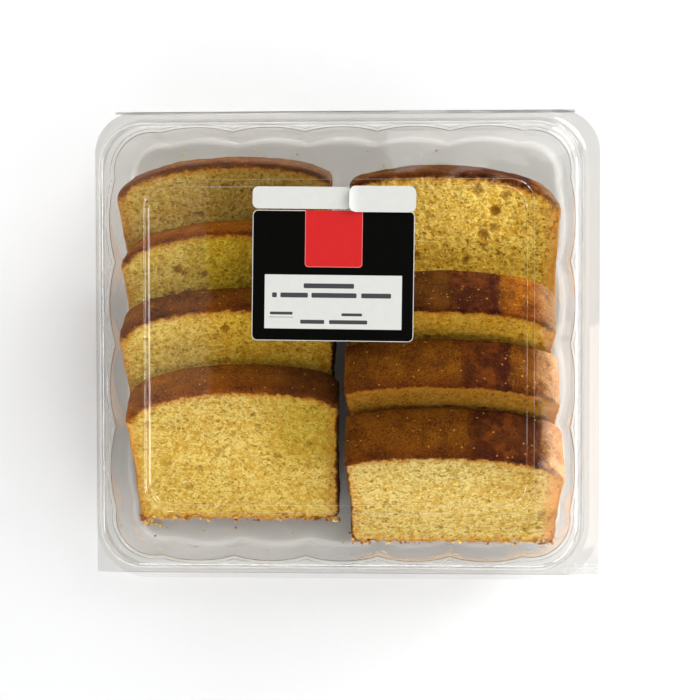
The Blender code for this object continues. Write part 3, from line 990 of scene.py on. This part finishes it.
# %% Lid
LID_TOP_Z = 70.6 * MM
LID_HALF_X, LID_HALF_Y, LID_CORNER = 114.6 * MM, 106.8 * MM, 22.0 * MM
LID_DRAFT = 4.0 * MM
LID_SHOULDER = 5.0 * MM
LID_BEND = 1.2 * MM       # inner radius of the bend between wall and rim
LID_BEAD = (1.8 * MM, 0.35 * MM)      # half width and height
CUT_CORNER = 25.0 * MM
FRAME_HALF_X, FRAME_HALF_Y, FRAME_CORNER = 87.6 * MM, 74.4 * MM, 11.0 * MM
FRAME_HALF_WIDTH, FRAME_ROUND, FRAME_STEP = 1.9 * MM, 1.2 * MM, 0.65 * MM
FRAME_STEEP = 11          # how steep the step's sides are
FRAME_LEFT, FRAME_FADE = -78 * MM, 6 * MM       # where the step starts to turn into the round bead
FOLD_LOW = Vector((-111 * MM, 110.7 * MM, 34.6 * MM))
FOLD_HIGH = Vector((109 * MM, 112.2 * MM, 35.6 * MM))
FOLD_BEVEL = 0.3 * MM


def lid_wall(inset, z):
    corner = LID_CORNER - 0.5 * inset
    return outline(LID_HALF_X - inset, LID_HALF_Y - inset, [corner] * 4, z=z)


def lid_frame_line(half_x, half_y, z):
    return outline(half_x, half_y, [FRAME_CORNER] * 4, z=z)


def lid_rim_edge(z):
    corners = [CUT_CORNER, BACK_CORNER, BACK_CORNER, CUT_CORNER]
    return outline(RIM_HALF_X, RIM_HALF_Y, corners, Vector((0.0, 0.0)), z=z)


def frame_rise(x, swell):
    """Height of the frame line at that x, where a plain bead's height would be swell, from 0 to 1."""
    left = max(0.0, min(1.0, (FRAME_LEFT - x) / FRAME_FADE))
    return left * FRAME_ROUND * swell + (1 - left) * FRAME_STEP * min(1.0, FRAME_STEEP * swell)


def lid_skin(depth):
    """Rings from inside the frame out to the rim's edge, that deep under the outer face."""
    rings = [[(x, y, LID_TOP_Z - depth + frame_rise(x, swell)) for x, y, swell in ring]
             for ring in bead(lid_frame_line, FRAME_HALF_X, FRAME_HALF_Y, FRAME_HALF_WIDTH, 1.0, 0.0)]
    shoulder = LID_DRAFT + LID_SHOULDER
    rings.append(lid_wall(shoulder + FLAT_RING, LID_TOP_Z - depth))
    rings += bend(lid_wall, shoulder, LID_TOP_Z - LID_SHOULDER, LID_SHOULDER - depth, 90, 0, 10)
    rim_top = RIM_Z + GAP + FILM
    rings += bend(lid_wall, -LID_BEND, rim_top + LID_BEND, LID_BEND + depth, 180, 270)
    rings += bead(rim_line, BEAD_HALF_X, BEAD_HALF_Y, *LID_BEAD, rim_top - depth)
    rings.append(lid_rim_edge(rim_top - depth))
    return rings


def hinge_strip():
    """The thick fold along the back edge that joins lid and tray, as a closed bar."""
    build = bmesh.new()
    middle, size = (FOLD_LOW + FOLD_HIGH) / 2, FOLD_HIGH - FOLD_LOW
    bmesh.ops.create_cube(build, size=1.0, matrix=Matrix.Translation(middle) @ Matrix.Diagonal((*size, 1.0)))
    bmesh.ops.bevel(build, geom=build.edges[:], offset=FOLD_BEVEL, segments=2, affect="EDGES")
    mesh = finished("hinge_fold", build)
    mesh.shade_smooth()
    mesh.materials.append(fold_sheet)
    return show("hinge_fold", mesh)


fold = hinge_strip()
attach(fold, "tray")
lid = loft("clear_lid", lid_skin(0.0) + lid_skin(FILM)[::-1], lid_sheet)
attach(lid, "lid")
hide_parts("lid")
print("lid faces:", len(lid.data.polygons))

# %% [markdown]
# ## Printed fields, as a node group
#
# The label is printed paper: a black card with a red field, left bare, and a white panel whose
# small print is only plain grey bars. Each field is a mask in the material, worked out from the
# distance to a rounded box, so its edges stay crisp at any size. All fields share one group.

# %% Patch group
PATCH_SOFT = 0.06 * MM    # half the width of a field's soft edge


def make_patch_group():
    """Mask is 1 inside a rounded box of that centre, half size and corner radius."""
    tree, given, result = start_group(
        "rounded patch",
        [("Vector", VECTOR, ORIGIN), ("Centre", VECTOR, ORIGIN), ("Half Size", VECTOR, (0.01, 0.01, 0.0)),
         ("Corner", FLOAT, 0.001)], [("Mask", FLOAT)])
    folded = vector_calc(tree, "ABSOLUTE", vector_calc(tree, "SUBTRACT", given["Vector"], given["Centre"]))
    beyond = vector_calc(tree, "SUBTRACT", folded, given["Half Size"])
    grown = vector_calc(tree, "ADD", beyond, given["Corner"])
    clipped = vector_calc(tree, "MAXIMUM", grown, (0.0, 0.0, -1.0))
    flat = vector_calc(tree, "MULTIPLY", clipped, (1.0, 1.0, 0.0))
    span = put(tree, "ShaderNodeVectorMath", {0: flat}, operation="LENGTH").outputs["Value"]
    mask = ease(tree, minus(tree, span, given["Corner"]), PATCH_SOFT, -PATCH_SOFT)
    tree.links.new(mask, result.inputs["Mask"])
    return tree


patch_group = make_patch_group()
print("patch group nodes:", len(patch_group.nodes))

# %% [markdown]
# ## The label's materials
#
# Paper is nearly matt, with faint fibres that mottle its colour, its roughness and its surface.
# The card's fields are laid over the paper one after another, from the bottom field to the top.

# %% Label materials
FIBRE_WAVES = 260.0       # waves per metre
PRINT_BLACK = srgb(8, 8, 7)
PRINT_RED = srgb(205, 42, 42)
PRINT_RED_EDGE = srgb(226, 120, 118)
PAPER_WHITE = srgb(214, 214, 209)
PRINT_GREY = srgb(68, 70, 72)
CARD_FIELDS = (
    (PRINT_BLACK, 0.0, 0.0, 73.2, 58.8, 2.2),
    (PRINT_RED_EDGE, 0.2, 18.2, 26.2, 28.6, 1.6), (PRINT_RED, 0.2, 18.4, 25.6, 28.4, 1.4),
    (PAPER_WHITE, 0.2, -11.9, 62.6, 24.6, 0.2),
    (PRINT_GREY, -1.8, -4.6, 23.0, 2.2, 0.5),
    (PRINT_GREY, -26.6, -8.9, 2.2, 2.2, 0.5), (PRINT_GREY, -17.6, -8.9, 12.6, 2.2, 0.5),
    (PRINT_GREY, 0.6, -8.9, 20.6, 2.2, 0.5), (PRINT_GREY, 19.8, -8.9, 13.6, 2.2, 0.5),
    (PRINT_GREY, -23.4, -17.2, 10.4, 1.3, 0.4), (PRINT_GREY, -23.4, -19.0, 11.0, 0.2, 0.1),
    (PRINT_GREY, 8.8, -17.6, 9.4, 1.3, 0.4),
    (PRINT_GREY, -9.2, -21.0, 11.0, 1.8, 0.4), (PRINT_GREY, 7.2, -21.0, 17.4, 1.8, 0.4))


def paper_material(name, fields):
    """fields lists (colour, centre x, centre y, width, height, corner) in millimetres, bottom first."""
    material, tree, shader = start_material(name)
    spot = own_place(tree)
    colour = PAPER_WHITE
    for tint, x, y, width, height, corner in fields:
        mask = use_group(tree, patch_group, {"Vector": spot, "Centre": (x * MM, y * MM, 0.0),
                                             "Half Size": (0.5 * width * MM, 0.5 * height * MM, 0.0),
                                             "Corner": corner * MM})["Mask"]
        colour = blend_colours(tree, mask, colour, tint)
    fibres = waves(tree, spot, FIBRE_WAVES, 4.0)
    colour = blend_colours(tree, 1.0, colour, stretch(tree, fibres, 0.94, 1.03), "MULTIPLY")
    tree.links.new(colour, shader.inputs["Base Color"])
    tree.links.new(stretch(tree, fibres, 0.28, 0.42), shader.inputs["Roughness"])
    tree.links.new(relief_normal(tree, fibres, 0.15, 0.2 * MM), shader.inputs["Normal"])
    shader.inputs["Specular IOR Level"].default_value = 0.05
    return material


printed_card = paper_material("printed card", CARD_FIELDS)
blank_paper = paper_material("blank paper", ())
print("fields on the card:", len(CARD_FIELDS))

# %% [markdown]
# ## The label's pieces
#
# A paper piece is a thin closed plate with a fine grid over it, so that it can be curled. It
# takes its outline from the CAD plate that it replaces. The right strip is laid over the left
# one, and its free left end lifts a little off it, which throws a thin shadow.

# %% Label pieces
PAPER = 0.2 * MM
LABEL_TURN = math.radians(-0.8)
CARD_CORNER, LEFT_CORNER, RIGHT_CORNER = 2.4 * MM, 2.6 * MM, 3.0 * MM
GRID = 1.2 * MM
CURL_LENGTH, CURL_HEIGHT = 5 * MM, 0.9 * MM
CURL_TWIST = 0.3          # how much more the lower corner lifts than the middle, and the upper less


def plate_size(node):
    """Middle, width, depth and underside of a CAD plate in the label's own turned frame."""
    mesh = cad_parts[node].data
    turn = Matrix.Rotation(LABEL_TURN, 3, "Z")
    points = np.array([turn.inverted() @ vertex.co for vertex in mesh.vertices])
    low, high = points.min(0), points.max(0)
    return turn @ Vector(0.5 * (low + high)), high[0] - low[0], high[1] - low[1], low[2]


def rounded(x, y, width, depth, corner):
    """Draws the points of a corner's square in to its circle, row by row."""
    over_x, over_y = abs(x) - (width / 2 - corner), abs(y) - (depth / 2 - corner)
    if over_x > 0 and over_y > 0:
        reach = max(over_x, over_y) / math.hypot(over_x, over_y)
        x = math.copysign(width / 2 - corner + over_x * reach, x)
        y = math.copysign(depth / 2 - corner + over_y * reach, y)
    return x, y


def make_paper(name, node, corner, material, lift):
    """A thin closed sheet in the place of a CAD plate. lift gives each point's height off the lid."""
    middle, width, depth, base = plate_size(node)
    build = bmesh.new()
    columns, rows = int(width / GRID), int(depth / GRID)
    sheet = []
    for row in range(rows + 1):
        line = []
        for column in range(columns + 1):
            x, y = (column / columns - 0.5) * width, (row / rows - 0.5) * depth
            x, y = rounded(x, y, width, depth, corner)
            line.append(build.verts.new((x, y, PAPER + lift(x, y, width, depth))))
        sheet.append(line)
    for near, far in zip(sheet, sheet[1:]):
        for column in range(columns):
            build.faces.new((near[column], near[column + 1], far[column + 1], far[column]))
    copied = bmesh.ops.duplicate(build, geom=build.verts[:] + build.edges[:] + build.faces[:])["geom"]
    under_faces = [item for item in copied if isinstance(item, bmesh.types.BMFace)]
    for vertex in {vertex for face in under_faces for vertex in face.verts}:
        vertex.co.z -= PAPER
    bmesh.ops.reverse_faces(build, faces=under_faces)
    bmesh.ops.bridge_loops(build, edges=[item for item in build.edges if item.is_boundary])
    bmesh.ops.recalc_face_normals(build, faces=build.faces)
    mesh = finished(name, build)
    mesh.shade_smooth()
    mesh.set_sharp_from_angle(angle=SHARP)
    mesh.materials.append(material)
    piece = show(name, mesh)
    piece.matrix_world = Matrix.Translation((middle.x, middle.y, base)) @ Matrix.Rotation(LABEL_TURN, 4, "Z")
    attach(piece, "lid")
    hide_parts(node)
    print(f"{name}: {width / MM:.1f} x {depth / MM:.1f} mm")
    return piece


def lies_flat(x, y, width, depth):
    return 0.0


def curls_left(x, y, width, depth):
    """The left end lifts, most at its lower corner."""
    near_end = max(0.0, 1 - (x + width / 2) / CURL_LENGTH)
    return CURL_HEIGHT * near_end ** 2 * (1 - CURL_TWIST * y / depth)


card = make_paper("paper_card", "label_card", CARD_CORNER, printed_card, lies_flat)
strip_left = make_paper("paper_strip_left", "label_strip_left", LEFT_CORNER, blank_paper, lies_flat)
strip_right = make_paper("paper_strip_right", "label_strip_right", RIGHT_CORNER, blank_paper, curls_left)

# %% [markdown]
# ## Loose crumbs
#
# Cut cornbread sheds crumbs. They lie on the tray's floor, gather along the front slices' feet
# and stick as pale specks to the crusts. Each is a small lump of its own shape, and all of them
# are one mesh: a lump is a low ball with its points pushed in and out at random.

# %% Crumb material and lump
crumb_random = np.random.default_rng(7)


def crumb_material():
    material, tree, shader = start_material("crumbs")
    tint = waves(tree, own_place(tree), 300.0)
    colour = blend_colours(tree, ease(tree, tint, 0.40, 0.66), SIDE_BROWN, CRUMB_PALE)
    colour = blend_colours(tree, ease(tree, tint, 0.46, 0.36), colour, CRUST_BROWN)
    tree.links.new(colour, shader.inputs["Base Color"])
    shader.inputs["Roughness"].default_value = 0.9
    return material


def between(low, high, power=1):
    """A random value; a power above 1 favours the low end."""
    return low + (high - low) * crumb_random.random() ** power


def add_lump(build, place, radius):
    lump = bmesh.ops.create_icosphere(build, subdivisions=1, radius=radius)
    for vertex in lump["verts"]:
        vertex.co *= between(0.65, 1.25)
        vertex.co.z *= 0.75
        vertex.co += place


crumb_look = crumb_material()
print("crumb material nodes:", len(crumb_look.node_tree.nodes))

# %% Scatter the crumbs
FLOOR_CRUMBS = 70
CRUST_CRUMBS = 150
FOOT_CRUMBS = 100          # along each front slice's foot
FOOT_INSET = 2 * MM
CORNER_SHARE = 0.45        # the share of a foot's crumbs that gather at its corners
CORNER_REACH = 7           # how far from the corner, in millimetres
FLOOR_EDGE = 5 * MM        # the strip along the tray's wall that stays free
OPEN_FLOOR = 8 * MM        # how far under a slice's front the floor still shows
CRUSTS_ABOVE = 20 * MM
FACES_UP = 0.3
TRIES = 200
PLACED_CRUMBS = ((-98.9, -97.7, 0.7), (-73.9, -95.0, 0.6), (-57.6, -93.4, 0.7), (-78.5, -103.2, 0.5),
                 (-41.4, -105.0, 0.6), (0.2, -95.7, 0.7), (-3.3, -100.7, 0.6), (104.9, 22.8, 0.6),
                 (103.4, 47.3, 0.5), (-105.2, -89.0, 1.1), (-103.6, -90.6, 1.3), (-101.8, -90.2, 0.9),
                 (-104.4, -91.9, 0.8), (-100.2, -91.2, 1.2), (-98.0, -91.6, 0.9), (-106.3, -87.2, 0.8),
                 (-102.6, -92.3, 0.6), (-96.1, -92.4, 1.0))     # x, y and radius in millimetres


def crumbs_on_floor(build):
    """Crumbs anywhere on the floor that no slice covers."""
    blockers = [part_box(item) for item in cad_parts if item.startswith("slice")]
    made = 0
    while made < FLOOR_CRUMBS:
        x = HOLLOW.x + between(-1, 1) * (TRAY_HALF_X - FLOOR_EDGE)
        y = HOLLOW.y + between(-1, 1) * (TRAY_HALF_Y - FLOOR_EDGE)
        radius = between(0.18, 0.73, 3) * MM
        if any(low.x < x < high.x and low.y + OPEN_FLOOR < y < high.y for low, high in blockers):
            continue
        add_lump(build, Vector((x, y, floor_z + 0.5 * radius)), radius)
        made += 1


def crumbs_at_foot(build, bread):
    """Crumbs along a slice's front foot, thickest at its two corners."""
    half = max(vertex.co.x for vertex in bread.data.vertices) - FOOT_INSET
    for _ in range(FOOT_CRUMBS):
        across = half * between(-1, 1)
        if crumb_random.random() < CORNER_SHARE:
            across = math.copysign(half - between(0, CORNER_REACH, 2) * MM, across)
        spot = bread.matrix_world @ Vector((across, between(-0.3, 1.7) * MM, between(-0.2, 2.0, 2) * MM))
        radius = between(0.4, 1.2, 2) * MM
        spot.z = max(spot.z, floor_z + 0.7 * radius)
        add_lump(build, spot, radius)


def crumbs_on_crusts(build):
    """Specks on points of the slices that are picked at random until one faces up."""
    for _ in range(CRUST_CRUMBS):
        bread = breads[int(crumb_random.integers(len(breads)))]
        mesh = bread.data
        for _ in range(TRIES):
            vertex = mesh.vertices[int(crumb_random.integers(len(mesh.vertices)))]
            spot = bread.matrix_world @ vertex.co
            facing = (bread.matrix_world.to_3x3() @ vertex.normal).normalized()
            if facing.z > FACES_UP and spot.z > CRUSTS_ABOVE:
                break
        radius = between(0.12, 0.42, 2) * MM
        add_lump(build, spot + facing * 0.4 * radius, radius)


crumb_build = bmesh.new()
crumbs_on_floor(crumb_build)
for x, y, radius in PLACED_CRUMBS:
    add_lump(crumb_build, Vector((x * MM, y * MM, floor_z + 0.5 * radius * MM)), radius * MM)
for bread in breads[:2]:
    crumbs_at_foot(crumb_build, bread)
crumbs_on_crusts(crumb_build)

crumb_mesh = finished("loose_crumbs", crumb_build)
crumb_mesh.materials.append(crumb_look)
crumbs = show("loose_crumbs", crumb_mesh)
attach(crumbs, "tray")
print("crumb faces:", len(crumb_mesh.polygons))

# %% [markdown]
# ## The table
#
# A plain white table, just under the tray and wide enough to fill every view. It belongs to the
# studio and not to the pack, so it is attached to no body and nothing rides on it.

# %% Table
TABLE_WHITE = 0.95
TABLE_HALF = 6.0
TABLE_GAP = 0.2 * MM      # between the table and the tray's underside

table_material, _, table_shader = start_material("white table")
table_shader.inputs["Base Color"].default_value = (TABLE_WHITE, TABLE_WHITE, TABLE_WHITE, 1.0)
table_shader.inputs["Roughness"].default_value = 0.9
table_mesh = bpy.data.meshes.new("table")
table_corners = [(-TABLE_HALF, -TABLE_HALF, 0), (TABLE_HALF, -TABLE_HALF, 0),
                 (TABLE_HALF, TABLE_HALF, 0), (-TABLE_HALF, TABLE_HALF, 0)]
table_mesh.from_pydata(table_corners, [], [(0, 1, 2, 3)])
table_mesh.materials.append(table_material)
table = show("table", table_mesh)
table.location.z = tray_low.z - TABLE_GAP
print("table top at", round(table.location.z / MM, 2), "mm")
